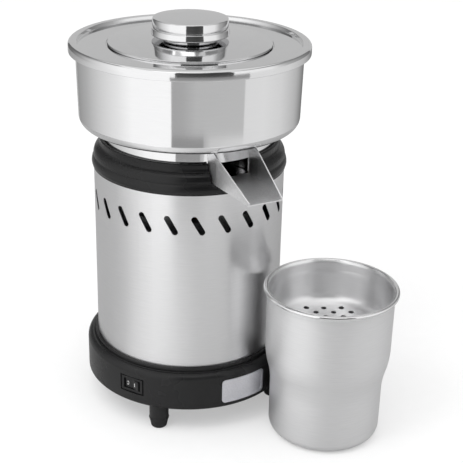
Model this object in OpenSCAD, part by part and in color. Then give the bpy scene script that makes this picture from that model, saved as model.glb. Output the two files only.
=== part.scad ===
// Electric citrus juicer with a turned metal bowl, a lid, a ventilated motor body and a loose cup.
// Millimetres, +Z up. The origin is on the motor axis, on the surface that the feet stand on.
// A bearing of 0 degrees points to the front (-Y) and grows towards +X.

/* [Base] */
// Radius of the moulded base
base_r = 108.9; // [108:0.1:118]
// Height of the moulded base
base_h = 44; // [42:1:60]
// Wall of the moulded parts
moulded_wall = 3; // [2.4:0.1:3.4]
// Radius of the circle that the legs stand on
leg_circle_r = 97; // [95:0.5:98]
// Radius of a leg
leg_r = 10; // [9:0.25:10]
// Gap between the base and the floor
leg_h = 28; // [24:1:40]
// Bearing of the front leg
leg_bearing = -17.7; // [-20:0.1:-12]
// Radius of the open hole in each rubber foot
foot_hole_r = 4.5; // [4:0.1:4.8]

/* [Switch] */
// Bearing of the switch
switch_bearing = -32; // [-45:1:-30]
// Width of the recess round the switch
switch_pocket_w = 28.5; // [27:0.5:32]
// Height of the recess round the switch
switch_pocket_h = 18.7; // [18:0.1:21]
// Angle that the rocker turns between off and on
rocker_throw = 16; // [10:1:18]

/* [Body] */
// Outer radius of the sheet metal body
shell_r = 97.8; // [97:0.1:98.2]
// Thickness of the body sheet
shell_t = 1; // [0.8:0.1:1.2]
// Height of the body that shows between base and collar
shell_h = 187.5; // [180:0.5:230]
// Number of ventilation slots
slot_count = 22; // [12:1:22]
// Angle between neighbouring slots
slot_pitch = 15.5; // [14:0.1:16]
// Length of a slot from end to end
slot_length = 21.6; // [14:0.1:26]
// Width of a slot
slot_w = 6.2; // [4:0.1:7]
// Lean of a slot from upright
slot_lean = 29.4; // [0:0.1:35]
// Distance from the collar down to the middle of the slots
slot_drop = 31.5; // [24:0.5:60]

/* [Collar] */
// Widest radius of the collar
collar_r = 99.9; // [99.8:0.1:103]
// Outer radius of the collar's upright neck
neck_r = 91.7; // [91:0.1:92.5]
// Height of the collar above the body
collar_h = 29.5; // [27:0.5:36]

/* [Motor] */
// Radius of the rotor
rotor_r = 35; // [30:1:38]
// Radius of the stator stack
stator_r = 74; // [72:1:76]
// Length of the stator stack
stack_h = 55; // [40:1:60]
// Number of stator slots
stator_slots = 24; // [12:12:36]
// Air gap between rotor and stator
air_gap = 0.4; // [0.3:0.1:0.8]
// Radius of the motor shaft
shaft_r = 7.5; // [7:0.25:8]
// Number of fan blades
fan_blades = 8; // [5:1:11]

/* [Reamer] */
// Radius of the reamer at its foot
reamer_r = 38; // [34:0.5:42]
// Height of the reamer
reamer_h = 62; // [56:1:66]
// Number of ribs on the reamer
reamer_ribs = 10; // [6:1:14]
// How far a rib stands out of the reamer
rib_height = 3.2; // [2:0.1:4]

/* [Bowl] */
// Outer radius of the bowl at its rim
bowl_r = 113.2; // [112:0.1:114]
// How much narrower the bowl is at its foot
bowl_taper = 1.7; // [0:0.1:3]
// Height of the bowl from its shelf to its rim
bowl_h = 82; // [74:0.5:100]
// Corner radius at the foot of the bowl
bowl_corner = 9; // [6:0.5:14]
// Wall of the bowl
bowl_t = 1.2; // [1:0.1:1.6]
// Gap that shows between the collar and the bowl's shelf
bowl_gap = 14.5; // [12:0.5:20]
// Radius of the rolled bead on the bowl's rim
bead_r = 2.6; // [2:0.1:2.8]

/* [Spout] */
// Bearing of the spout
spout_bearing = 26.5; // [20:0.5:35]
// Distance from the motor axis to the spout's tip
spout_reach = 157; // [148:1:165]
// Inner width of the spout at the bowl
spout_root_w = 43; // [38:0.5:46]
// Inner width of the spout at its tip
spout_tip_w = 33; // [28:0.5:36]
// Thickness of the spout's sheet
spout_t = 1.2; // [1:0.1:1.5]

/* [Lid] */
// Free play between the lid's edge and the bead on the bowl's rim
lid_play = 1.6; // [0.8:0.1:3]
// Height of the lid's turned-down edge
lid_skirt = 10; // [8:0.5:14]
// Sheet thickness of the lid
lid_t = 1.2; // [1:0.1:1.5]
// Radius of the raised middle of the lid
dome_r = 81.6; // [70:0.1:90]
// Radius of the knob
knob_r = 37.4; // [30:0.1:42]
// Height of the knob above its lip
knob_h = 16; // [12:0.5:20]

/* [Cup] */
// Outer radius of the cup at its rim
cup_rim_r = 68; // [67:0.5:69]
// Outer radius of the cup's lower part
cup_foot_r = 57.6; // [56:0.1:58.5]
// Height of the cup
cup_h = 162; // [155:1:175]
// Wall of the cup
cup_t = 1.2; // [1:0.1:1.5]
// Depth of the strainer that hangs in the cup
strainer_depth = 49; // [40:1:56]
// Radius of a strainer hole
strainer_hole_r = 2.8; // [2:0.1:3]
// Distance between neighbouring strainer holes
strainer_pitch = 13; // [11:0.5:16]
// Place of the cup along X
cup_x = 142.5; // [141:0.5:160]
// Place of the cup along Y
cup_y = -91.5; // [-110:0.5:-90]

/* [Hidden] */
$fn = 96;
// Free play between loose parts, slide fits and the sliver that makes cuts run clear
gap = 0.3;
fit = 0.05;
cut = 1;

// Levels
base_z = leg_h;
base_top = base_z + base_h;
seam_z = base_top + shell_h;
collar_top = seam_z + collar_h;
shell_overlap = 8;
shell_z0 = base_top - shell_overlap;
shell_z1 = seam_z + 5;
deck_t = 6;
deck_z1 = seam_z + 11.5;
deck_z0 = deck_z1 - deck_t;
sump_z0 = deck_z1 + gap;
shelf_z = collar_top + bowl_gap;
rim_z = shelf_z + bowl_h;
neck_wall = 3.2;
neck_in_r = neck_r - neck_wall;

// Outline helpers: points on an arc, and solids turned about the motor axis
function oval(cx, cz, rx, rz, a0, a1, n) = [for (i = [0:n]) let (a = a0 + (a1 - a0) * i / n)
    [cx + rx * cos(a), cz + rz * sin(a)]];
function arc(cx, cz, r, a0, a1, n = 10) = oval(cx, cz, r, r, a0, a1, n);
module turned(outline) rotate_extrude() polygon(outline);
module ring(r0, r1, z0, z1) translate([0, 0, z0]) difference() {
    cylinder(r = r1, h = z1 - z0);
    translate([0, 0, -cut]) cylinder(r = r0, h = z1 - z0 + 2 * cut);
}
module disc(r, z0, z1) translate([0, 0, z0]) cylinder(r = r, h = z1 - z0);
// Children stand with their +X pointing away from the motor axis at this bearing
module at_bearing(bearing) rotate([0, 0, bearing - 90]) children();
module at_polar(bearing, r) at_bearing(bearing) translate([r, 0, 0]) children();
module round_array(count, first, r) for (i = [0:count - 1]) at_polar(first + i * 360 / count, r) children();
module slab(x0, x1, width, z0, z1) translate([x0, -width / 2, z0]) cube([x1 - x0, width, z1 - z0]);

// ---- Base ----
leg_count = 4;
shell_in_r = shell_r - shell_t;
groove_in_r = shell_in_r - gap;
groove_out_r = shell_r + gap;
groove_wall = 3;
web_t = 5;
web_z1 = shell_z0;
web_z0 = web_z1 - web_t;
web_in_r = 80;
base_in_r = base_r - moulded_wall;
shoulder_r = 7;
lip_r = groove_out_r + 3;
plate_t = 1.5;
plate_r = base_in_r - 0.5;
plate_z1 = base_z + plate_t;
boss_r = 9.5;
screw_r = 2.5;
screw_pilot = screw_r + fit;
rod_count = 3;
rod_first = 0;
rod_r = 2.5;
rod_circle_r = 86.5;
rod_hole_r = rod_r + gap;
rod_boss_r = 5.5;
rod_boss_h = 10;
grommet_bearing = 180;
grommet_z = base_z + 17;
grommet_r = 8;
grommet_hole_r = grommet_r - 1.6;
cord_bore_r = 3.6;
grommet_flange = 2.5;
switch_z = base_z + 19.6;
switch_seat_r = base_r - 2.2;
switch_body_w = 21;
switch_body_h = 12.6;

// Turned outline of the base: outer wall, domed shoulder, stepped lip and the groove for the body
base_outline = concat(
    [[base_in_r, base_z], [base_r - 0.8, base_z], [base_r, base_z + 1]],
    arc(base_r - shoulder_r, base_top - 4 - shoulder_r, shoulder_r, 0, 72),
    [[lip_r + 1.2, base_top - 4.2], [lip_r + 0.5, base_top - 4.8], [lip_r, base_top - 4.2]],
    arc(lip_r - 1.2, base_top - 1.2, 1.2, 0, 90, 4),
    [[groove_out_r, base_top], [groove_out_r, web_z1], [groove_in_r, web_z1],
     [groove_in_r, base_top - 3], [groove_in_r - groove_wall, base_top - 3],
     [groove_in_r - groove_wall, web_z1 - 1], [web_in_r, web_z1 - 1], [web_in_r, web_z0],
     [base_in_r, web_z0]]);

module switch_block(grow = 0) slab(base_in_r - 6, base_r + cut, switch_pocket_w + 8 + grow,
    switch_z - switch_pocket_h / 2 - 3, switch_z + switch_pocket_h / 2 + 3);

module base_shell() color("#2b2b2d") difference() {
    union() {
        turned(base_outline);
        intersection() {
            union() {
                round_array(leg_count, leg_bearing, leg_circle_r)
                    disc(boss_r, plate_z1, web_z0 + cut);
                at_bearing(switch_bearing) switch_block();
            }
            disc(base_in_r + 1, base_z, web_z0 + cut);
        }
    }
    // blind pilot holes for the screws that hold legs and plate
    round_array(leg_count, leg_bearing, leg_circle_r) disc(screw_pilot, plate_z1 - cut, foot_screw_z1 + gap);
    round_array(rod_count, rod_first, rod_circle_r) disc(rod_hole_r, web_z0 - cut, web_z1 + cut);
    at_bearing(switch_bearing) {
        slab(switch_seat_r, base_r + cut, switch_pocket_w,
            switch_z - switch_pocket_h / 2, switch_z + switch_pocket_h / 2);
        slab(base_in_r - 8, base_r + cut, switch_body_w + 2 * fit,
            switch_z - switch_body_h / 2 - fit, switch_z + switch_body_h / 2 + fit);
    }
    at_bearing(grommet_bearing) translate([base_in_r - 3, 0, grommet_z])
        rotate([0, 90, 0]) cylinder(r = grommet_hole_r + fit, h = moulded_wall + 8);
}

// Steel bottom plate with rings of air slots under the fan
vent_count = 12;
module base_plate() color("#8f9193") difference() {
    disc(plate_r, base_z, plate_z1);
    round_array(leg_count, leg_bearing, leg_circle_r) disc(screw_r + gap, base_z - cut, plate_z1 + cut);
    for (r = [30, 50]) round_array(vent_count, 0, r) slab(-7, 7, 5, base_z - cut, plate_z1 + cut);
    disc(6, base_z - cut, plate_z1 + cut);
}

foot_tip_h = 11.5;
foot_top_r = leg_r + 0.5;
spigot_r = 6.5;
spigot_z0 = 5;
head_r = 4.1;
head_h = 3.6;
head_z0 = 19;
leg_bore_r = foot_hole_r + 0.5;
foot_screw_z1 = web_z0 - 6;

module leg() difference() {
    union() {
        disc(leg_r, foot_tip_h, base_z);
        disc(spigot_r, spigot_z0, foot_tip_h + cut);
    }
    disc(leg_bore_r, spigot_z0 - cut, head_z0 + head_h);
    disc(screw_r + gap, head_z0, base_z + cut);
}
module legs() color("#262627") round_array(leg_count, leg_bearing, leg_circle_r) leg();

// Tapered rubber tip with a small bead where it meets the leg
foot_outline = concat([[foot_hole_r, 0], [leg_r - 3.4, 0]],
    arc(leg_r - 3.4, 1.8, 1.8, -90, -20, 4), arc(leg_r - 0.6, foot_tip_h - 1.1, 1.1, -60, 90, 5),
    [[spigot_r + fit, foot_tip_h], [spigot_r + fit, spigot_z0 - fit], [foot_hole_r, spigot_z0 - fit]]);
module rubber_feet() color("#1b1b1c") round_array(leg_count, leg_bearing, leg_circle_r) turned(foot_outline);

module foot_screws() color("#b5b7b9") round_array(leg_count, leg_bearing, leg_circle_r) difference() {
    union() {
        disc(head_r, head_z0, head_z0 + head_h);
        disc(screw_r, head_z0 + head_h - cut, foot_screw_z1);
    }
    // cross recess for the driver
    for (a = [0, 90]) rotate([0, 0, a]) slab(-2.6, 2.6, 1, head_z0 - cut, head_z0 + head_h / 2);
}

// Rubber bush at the back that the mains lead comes in by
grommet_outline = [[cord_bore_r, -5], [grommet_r, -5], [grommet_r, -moulded_wall / 2 - 0.9],
    [grommet_hole_r, -moulded_wall / 2 - 0.9], [grommet_hole_r, moulded_wall / 2 + 0.3],
    [grommet_r, moulded_wall / 2 + 0.3], [grommet_r - 1, moulded_wall / 2 + 2.4],
    [cord_bore_r, moulded_wall / 2 + grommet_flange]];
grommet_mid_r = base_r - moulded_wall / 2;
module cord_grommet() color("#1d1d1e") at_bearing(grommet_bearing)
    translate([grommet_mid_r, 0, grommet_z]) rotate([0, 90, 0]) turned(grommet_outline);

// ---- Switch ----
switch_flange_t = 1.4;
rocker_w = 18.6;
rocker_h = 10;
rocker_r = base_r - 1.8;
switch_cavity = 0.6;
switch_margin_x = 1.5;
switch_margin_z = 1.2;
switch_depth = 22;
switch_well = 8;
switch_tab = 6;
module switch_housing() color("#161617") at_bearing(switch_bearing) difference() {
    union() {
        slab(switch_seat_r, switch_seat_r + switch_flange_t, switch_pocket_w - 2 * switch_margin_x,
            switch_z - switch_pocket_h / 2 + switch_margin_z, switch_z + switch_pocket_h / 2 - switch_margin_z);
        slab(switch_seat_r - switch_depth, switch_seat_r + cut, switch_body_w,
            switch_z - switch_body_h / 2, switch_z + switch_body_h / 2);
    }
    slab(switch_seat_r - switch_well, base_r + cut, rocker_w + 2 * switch_cavity,
        switch_z - rocker_h / 2 - switch_cavity, switch_z + rocker_h / 2 + switch_cavity);
    // tabs stand free between two cuts at the back
    for (z = [-1, 1]) slab(switch_seat_r - switch_depth - cut, switch_seat_r - switch_depth + switch_tab,
        switch_body_w + cut, switch_z + z * 3.6 - 1.4, switch_z + z * 3.6 + 1.4);
}
// Rocker in plan: two flats that dish towards the pivot, standing on a round pivot barrel
rocker_plan = [[-rocker_w / 2, -1.6], [-rocker_w / 2 + 0.6, 2], [-rocker_w / 2 + 1.4, 2.2], [0, 1],
    [rocker_w / 2 - 1.4, 2.2], [rocker_w / 2 - 0.6, 2], [rocker_w / 2, -1.6]];
rocker_pivot = -1.4;
module switch_rocker() color("#0f0f10") at_bearing(switch_bearing)
    translate([rocker_r - 1.2, 0, switch_z - rocker_h / 2]) rotate([0, 0, -90 - rocker_throw / 2])
    union() {
        linear_extrude(height = rocker_h) polygon(rocker_plan);
        translate([0, rocker_pivot, 0]) cylinder(r = 2.2, h = rocker_h);
    }

// ---- Electrical parts on the base plate ----
pole_count = 4;
pole_pitch = 10;
block_d = 16;
block_h = 12;
block_inset = 23.4;
module terminal_block() color("#e8e4d8")
    translate([-pole_count * pole_pitch / 2, block_inset - plate_r, plate_z1]) difference() {
        cube([pole_count * pole_pitch, block_d, block_h]);
        for (i = [0:pole_count - 1]) translate([(i + 0.5) * pole_pitch, block_d / 2, block_h / 3])
            cylinder(r = 2.2, h = block_h, $fn = 32);
        translate([-cut, block_d / 2, block_h / 2]) rotate([0, 90, 0])
            cylinder(r = 1, h = pole_count * pole_pitch + 2 * cut, $fn = 32);
    }
capacitor_r = 14;
capacitor_len = 62;
capacitor_at = [0, 46, plate_z1 + capacitor_r + 1.2];
module capacitor_axis() translate(capacitor_at) rotate([0, 90, 0]) children();
module run_capacitor() color("#c9cbcd") capacitor_axis() {
    difference() {
        translate([0, 0, -capacitor_len / 2]) cylinder(r = capacitor_r, h = capacitor_len);
        translate([0, 0, capacitor_len / 2 - 1.2]) cylinder(r = capacitor_r - 1.6, h = 2);
    }
    for (y = [-5, 5]) translate([-0.5, y - 3, capacitor_len / 2 - 1.4]) cube([1, 6, 9]);
}
// Strap that goes over the capacitor and screws to the plate on both sides
strap_r = capacitor_r + fit;
strap_t = 1.2;
strap_w = 14;
module capacitor_clip() color("#9fa1a3") difference() {
    union() {
        capacitor_axis() translate([0, 0, -strap_w / 2]) cylinder(r = strap_r + strap_t, h = strap_w);
        translate([-strap_w / 2, capacitor_at[1] - capacitor_r - 12, plate_z1])
            cube([strap_w, 2 * capacitor_r + 24, strap_t]);
    }
    capacitor_axis() translate([0, 0, -strap_w]) cylinder(r = strap_r, h = 2 * strap_w);
    for (s = [-1, 1]) translate([0, capacitor_at[1] + s * (capacitor_r + 8), plate_z1 - cut])
        cylinder(r = 1.8, h = 4, $fn = 32);
    translate([-strap_w, capacitor_at[1] - capacitor_r * 2, plate_z1 - 20]) cube([2 * strap_w, 80, 20]);
}

// ---- Body ----
slot_z = seam_z - slot_drop;
slot_middle_bearing = -2.4;
seam_line = 0.4;
module slot_cutter() rotate([0, 90, 0]) rotate([0, 0, slot_lean]) linear_extrude(height = 12) union() {
    square([slot_length - slot_w, slot_w], center = true);
    for (s = [-1, 1]) translate([s * (slot_length - slot_w) / 2, 0]) circle(r = slot_w / 2, $fn = 32);
}
module body_shell() color("#c4c5c7") difference() {
    ring(shell_in_r, shell_r, shell_z0, shell_z1);
    for (i = [0:slot_count - 1]) at_bearing(slot_middle_bearing + (i - (slot_count - 1) / 2) * slot_pitch)
        translate([shell_r - 6, 0, slot_z]) slot_cutter();
    // butt joint of the rolled sheet, at the back
    at_bearing(180) slab(shell_in_r - cut, shell_r + cut, seam_line, shell_z0 - cut, shell_z1 + cut);
}

// Long rods clamp the body between base and collar
rod_nut_h = 4;
rod_z0 = web_z0 - rod_nut_h - 3;
rod_z1 = deck_z1 - 2;
module tie_rods() color("#aeb0b2") round_array(rod_count, rod_first, rod_circle_r) disc(rod_r, rod_z0, rod_z1);
module tie_rod_nuts() color("#9a9c9e") round_array(rod_count, rod_first, rod_circle_r)
    translate([0, 0, web_z0 - rod_nut_h]) difference() {
        cylinder(r = 4.6, h = rod_nut_h, $fn = 6);
        translate([0, 0, -cut]) cylinder(r = rod_r + fit, h = rod_nut_h + 2 * cut, $fn = 48);
    }

// ---- Collar ----
crease_z = seam_z + 11.5;
crease_r = collar_r - 1.8;
crease_depth = 0.3;
shoulder_h = 10;
shoulder_w = crease_r - neck_r;
neck_blend = 4;
bulge_z = seam_z + 4.2;
bulge_w = 5;
bulge_h = 8;
collar_lip_in = shell_r + gap;
collar_groove_z = shell_z1 + gap;
seal_seat_r = 15;
collar_outline = concat(
    [[collar_lip_in, seam_z], [collar_r - 1, seam_z]],
    arc(collar_r - bulge_w, bulge_z, bulge_w, -36, 0, 4),
    oval(collar_r - bulge_w, bulge_z, bulge_w, bulge_h, 10, 48, 4),
    [[crease_r, crease_z - 0.9], [crease_r - crease_depth, crease_z - 0.6],
     [crease_r - crease_depth, crease_z - 0.3]],
    oval(neck_r, crease_z, shoulder_w, shoulder_h, 0, 68, 5),
    arc(neck_r + neck_blend, crease_z + shoulder_h + 3, neck_blend, 245, 180, 4),
    arc(neck_r - 1.4, collar_top - 1.4, 1.4, 0, 90, 4),
    [[neck_in_r, collar_top], [neck_in_r, deck_z1], [seal_seat_r, deck_z1], [seal_seat_r, deck_z0],
     [shell_in_r - 4, deck_z0], [shell_in_r - 4, shell_z1 - 3], [groove_in_r, shell_z1 - 3],
     [groove_in_r, collar_groove_z], [collar_lip_in, collar_groove_z]]);
notch_clear = 1.2;
notch_w = spout_root_w + 2 * (spout_t + notch_clear);
notch_z = deck_z1;
mount_count = 4;
mount_circle_r = 40;
mount_first = 0;
mount_head_r = 4.6;
mount_head_h = 3;

module top_collar() color("#2a2a2c") difference() {
    union() {
        turned(collar_outline);
        round_array(rod_count, rod_first, rod_circle_r) disc(rod_boss_r, deck_z0 - rod_boss_h, deck_z0 + cut);
    }
    at_bearing(spout_bearing) slab(neck_in_r - 6, collar_r + 5, notch_w, notch_z, collar_top + cut);
    round_array(rod_count, rod_first, rod_circle_r) disc(rod_r + fit, deck_z0 - rod_boss_h - cut, rod_z1 + gap);
    round_array(mount_count, mount_first, mount_circle_r) {
        disc(screw_r + gap, deck_z0 - cut, deck_z1 + cut);
        disc(mount_head_r + gap, deck_z1 - mount_head_h - gap, deck_z1 + cut);
    }
}
collar_screw_z0 = deck_z0 - 9;
module collar_screws() color("#b5b7b9") round_array(mount_count, mount_first, mount_circle_r) difference() {
    union() {
        disc(mount_head_r, deck_z1 - mount_head_h - gap, deck_z1 - gap);
        disc(screw_r, collar_screw_z0, deck_z1 - mount_head_h);
    }
    translate([0, 0, deck_z1 - 2.2]) cylinder(r = 1.8, h = 3, $fn = 6);
}

// ---- Motor, hung under the collar's deck ----
shield_h = 58;
shield_plate_t = 5;
upper_z1 = deck_z0;
upper_z0 = upper_z1 - shield_h;
stack_z0 = upper_z0 - stack_h;
lower_shield_h = 44;
lower_z0 = stack_z0 - lower_shield_h;
shield_wall = 10;
shield_in_r = stator_r - shield_wall;
bearing_r = 17.5;
bearing_h = 11;
bearing_boss_r = bearing_r + 5;
bearing_cover = 2;
upper_bearing_z = upper_z1 - bearing_cover - bearing_h;
lower_bearing_z = lower_z0 + bearing_cover;
bolt_count = 4;
bolt_circle_r = stator_r - shield_wall / 2;
bolt_r = 2.5;
bolt_grip = 22;
bolt_head_r = 4.4;
bolt_head_h = 4;
motor_bolt_z1 = upper_z0 + bolt_grip;
mount_boss_r = 6;
shaft_play = 1.5;
air_hole_r = 7;
air_hole_circle_r = 40;
window_count = 8;
window_w = 24;
window_margin = 14;
bolt_first = 180 / window_count;

module shield_windows(z0, z1) for (i = [0:window_count - 1]) at_bearing(i * 360 / window_count)
    slab(shield_in_r - 6, stator_r + cut, window_w, z0, z1);

// Cast bell over the upper end of the stator, with the upper bearing's boss and air windows
module upper_end_shield() color("#b9bbbd") difference() {
    union() {
        ring(shield_in_r, stator_r, upper_z0, upper_z1);
        disc(stator_r, upper_z1 - shield_plate_t, upper_z1);
        disc(bearing_boss_r, upper_bearing_z - 1, upper_z1);
        round_array(mount_count, mount_first, mount_circle_r) disc(mount_boss_r, collar_screw_z0 - 2, upper_z1);
    }
    disc(bearing_r + fit, upper_bearing_z - 2, upper_bearing_z + bearing_h + fit);
    disc(shaft_r + shaft_play, upper_bearing_z, upper_z1 + cut);
    shield_windows(upper_z0 + window_margin, upper_z1 - window_margin);
    round_array(mount_count, mount_first, mount_circle_r) disc(screw_r + fit, collar_screw_z0 - fit, upper_z1 + cut);
    round_array(bolt_count, bolt_first, bolt_circle_r) disc(bolt_r + fit, upper_z0 - cut, motor_bolt_z1 + gap);
}
module lower_end_shield() color("#b3b5b7") difference() {
    union() {
        ring(shield_in_r, stator_r, lower_z0, stack_z0);
        disc(stator_r, lower_z0, lower_z0 + shield_plate_t);
        disc(bearing_boss_r, lower_z0, lower_bearing_z + bearing_h + 1);
    }
    disc(bearing_r + fit, lower_bearing_z - fit, lower_bearing_z + bearing_h + 2);
    disc(shaft_r + shaft_play, lower_z0 - cut, lower_bearing_z + cut);
    shield_windows(lower_z0 + window_margin, stack_z0 - window_margin);
    round_array(window_count, 0, air_hole_circle_r) disc(air_hole_r, lower_z0 - cut, lower_z0 + shield_plate_t + cut);
    round_array(bolt_count, bolt_first, bolt_circle_r) disc(bolt_r + fit, lower_z0 - cut, stack_z0 + cut);
}

// Laminated stator: slots open to the bore through narrow mouths
bore_r = rotor_r + air_gap;
tooth_tip = 3;
yoke_w = 17;
slot_in_r = bore_r + tooth_tip;
slot_out_r = stator_r - yoke_w;
stator_slot_w = 5.4;
slot_mouth_w = 2;
module stator_slot(shrink = 0) {
    translate([slot_in_r + shrink, -stator_slot_w / 2 + shrink])
        square([slot_out_r - slot_in_r - 2 * shrink, stator_slot_w - 2 * shrink]);
}
module stator_core() color("#6d7276") translate([0, 0, stack_z0]) linear_extrude(height = stack_h) difference() {
    circle(r = stator_r);
    circle(r = bore_r);
    for (i = [0:stator_slots - 1]) rotate(i * 360 / stator_slots) {
        stator_slot();
        translate([bore_r - 1, -slot_mouth_w / 2]) square([slot_in_r - bore_r + 1.5, slot_mouth_w]);
    }
    for (i = [0:bolt_count - 1]) rotate(bolt_first - 90 + i * 360 / bolt_count)
        translate([bolt_circle_r, 0]) circle(r = bolt_r + fit);
}
// Copper: one bar in every slot, joined by the taped bundles at both ends
bundle_h = 20;
bundle_round = 4.6;
bundle_inset = 5;
module bundle(z) let (r0 = slot_in_r + bundle_inset, r1 = slot_out_r - bundle_inset,
    z0 = z + bundle_inset, z1 = z + bundle_h - bundle_inset) turned(concat(
    arc(r0, z0, bundle_round, 180, 270, 3), arc(r1, z0, bundle_round, 270, 360, 3),
    arc(r1, z1, bundle_round, 0, 90, 3), arc(r0, z1, bundle_round, 90, 180, 3)));
module stator_windings() color("#b5652b") union() {
    bundle(stack_z0 + stack_h);
    bundle(stack_z0 - bundle_h);
    for (i = [0:stator_slots - 1]) rotate([0, 0, i * 360 / stator_slots])
        translate([0, 0, stack_z0 - 3]) linear_extrude(height = stack_h + 6) stator_slot(0.25);
}
module motor_bolts() color("#a8aaac") round_array(bolt_count, bolt_first, bolt_circle_r) {
    disc(bolt_r, lower_z0 - bolt_head_h / 2, motor_bolt_z1);
    translate([0, 0, lower_z0 - bolt_head_h]) cylinder(r = bolt_head_r, h = bolt_head_h, $fn = 6);
}
// Deep groove ball bearing drawn as its sealed ring
race_w = 2.6;
seal_depth = 0.6;
module bearing(z) difference() {
    disc(bearing_r, z, z + bearing_h);
    disc(shaft_r + fit, z - cut, z + bearing_h + cut);
    for (s = [[z - cut, z + seal_depth], [z + bearing_h - seal_depth, z + bearing_h + cut]])
        ring(shaft_r + race_w, bearing_r - race_w, s[0], s[1]);
}
module lower_bearing() color("#d8d9da") bearing(lower_bearing_z);
module upper_bearing() color("#d8d9da") bearing(upper_bearing_z);
// Lip seal in the deck keeps juice out of the motor
seal_lip_r = shaft_r + 0.08;
module shaft_seal() color("#202021") turned([[seal_lip_r, deck_z0 + 2.6], [seal_lip_r, deck_z0 + 3.6],
    [shaft_r + 3, deck_z1 - 0.6], [seal_seat_r - fit, deck_z1 - 0.6], [seal_seat_r - fit, deck_z0 + fit],
    [shaft_r + 3.2, deck_z0 + fit], [shaft_r + 3.2, deck_z0 + 1.4]]);

// ---- Rotor ----
shaft_tail = 24;
shaft_rise = 32;
shaft_z0 = lower_z0 - shaft_tail;
shaft_z1 = shelf_z + shaft_rise;
shaft_chamfer = 1.5;
pin_rise = 9;
pin_z = shelf_z + pin_rise;
pin_r = 2;
module motor_shaft() color("#cfd0d2") difference() {
    turned([[0, shaft_z0], [shaft_r - 1, shaft_z0], [shaft_r, shaft_z0 + 1],
        [shaft_r, shaft_z1 - shaft_chamfer], [shaft_r - shaft_chamfer, shaft_z1], [0, shaft_z1]]);
    translate([0, 0, pin_z]) rotate([90, 0, 0]) cylinder(r = pin_r + fit, h = 3 * shaft_r, center = true);
}
pin_len = 24;
module drive_pin() color("#dcdddf") translate([0, 0, pin_z]) rotate([90, 0, 0])
    cylinder(r = pin_r, h = pin_len, center = true, $fn = 32);
module rotor_core() color("#5f6468") ring(shaft_r + fit, rotor_r, stack_z0, stack_z0 + stack_h);
end_ring_h = 8;
end_ring_w = 18.5;
module end_ring(z) ring(rotor_r - end_ring_w, rotor_r - 1, z, z + end_ring_h);
module rotor_end_rings() color("#c2c4c6") {
    end_ring(stack_z0 + stack_h);
    end_ring(stack_z0 - end_ring_h);
}
// Moulded fan under the motor: hub, web and straight radial blades
fan_r = 62;
fan_h = 16;
fan_drop = 6;
fan_z0 = lower_z0 - fan_drop - fan_h;
fan_hub_wall = 6;
fan_hub_r = shaft_r + fan_hub_wall;
fan_sheet = 2;
fan_web_r = fan_r - 6;
module cooling_fan() color("#3a3b3d") difference() {
    union() {
        disc(fan_hub_r, fan_z0, fan_z0 + fan_h);
        disc(fan_web_r, fan_z0 + fan_h - fan_sheet, fan_z0 + fan_h);
        for (i = [0:fan_blades - 1]) rotate([0, 0, i * 360 / fan_blades])
            slab(fan_hub_r - 1, fan_r, fan_sheet, fan_z0, fan_z0 + fan_h);
    }
    disc(shaft_r + fit, fan_z0 - cut, fan_z0 + fan_h + cut);
}

// ---- Reamer: a ribbed dome on a skirt, with a socket for the shaft and a slot for its pin ----
chimney_r = shaft_r + 5.5;
chimney_top = shelf_z + 3.5;
reamer_z0 = shelf_z + 3;
reamer_foot_h = 3;
reamer_wall = 3;
dome_h = reamer_h - reamer_foot_h;
core_foot_r = reamer_r - rib_height;
// Outline of the dome: steep at the foot, closing to a rounded tip
function dome_curve(r, height, n = 12) = [for (i = [0:n]) let (h = sin(90 * i / n))
    [r * pow(1 - pow(h, 1.9), 0.72), reamer_z0 + reamer_foot_h + height * h]];
rib_half_angle = 6;
rib_in_r = 4;
rib_fade = 0.97;
module rib() linear_extrude(height = reamer_z0 + reamer_h + cut)
    polygon([for (r = [rib_in_r, reamer_r + 2], s = [-1, 1])
        [r, (r > rib_in_r ? s : -s) * r * tan(rib_half_angle)]]);
hub_r = shaft_r + 3.6;
socket_top = shaft_z1 + 1;
module reamer() color("#e4e2dc") difference() {
    union() {
        turned(concat([[0, reamer_z0]], [[core_foot_r + 1, reamer_z0]], dome_curve(core_foot_r, dome_h)));
        intersection() {
            turned(concat([[0, reamer_z0 + reamer_foot_h]], dome_curve(reamer_r, dome_h * rib_fade)));
            for (i = [0:reamer_ribs - 1]) rotate([0, 0, i * 360 / reamer_ribs]) rib();
        }
        turned([[0, reamer_z0], [reamer_r + 2, reamer_z0], [reamer_r + 2, reamer_z0 + 1],
            [reamer_r, reamer_z0 + reamer_foot_h], [0, reamer_z0 + reamer_foot_h]]);
    }
    // hollow under the dome, round the hub
    difference() {
        turned([[0, reamer_z0 - cut], [core_foot_r - reamer_wall, reamer_z0 - cut],
            [core_foot_r - reamer_wall - 1, reamer_z0 + 12], [hub_r + 5, reamer_z0 + 26],
            [hub_r, reamer_z0 + 28], [0, reamer_z0 + 28]]);
        disc(hub_r, pin_z - pin_r - 2, reamer_z0 + 30);
    }
    disc(shaft_r + 0.08, pin_z - 10, socket_top);
    slab(-pin_len / 2 - 1, pin_len / 2 + 1, 2 * pin_r + 0.4, reamer_z0 - cut, pin_z + pin_r + 0.2);
    rotate([0, 0, 90]) slab(-pin_len / 2 - 1, pin_len / 2 + 1, 2 * pin_r + 0.4, reamer_z0 - cut, pin_z + pin_r + 0.2);
}

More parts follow.
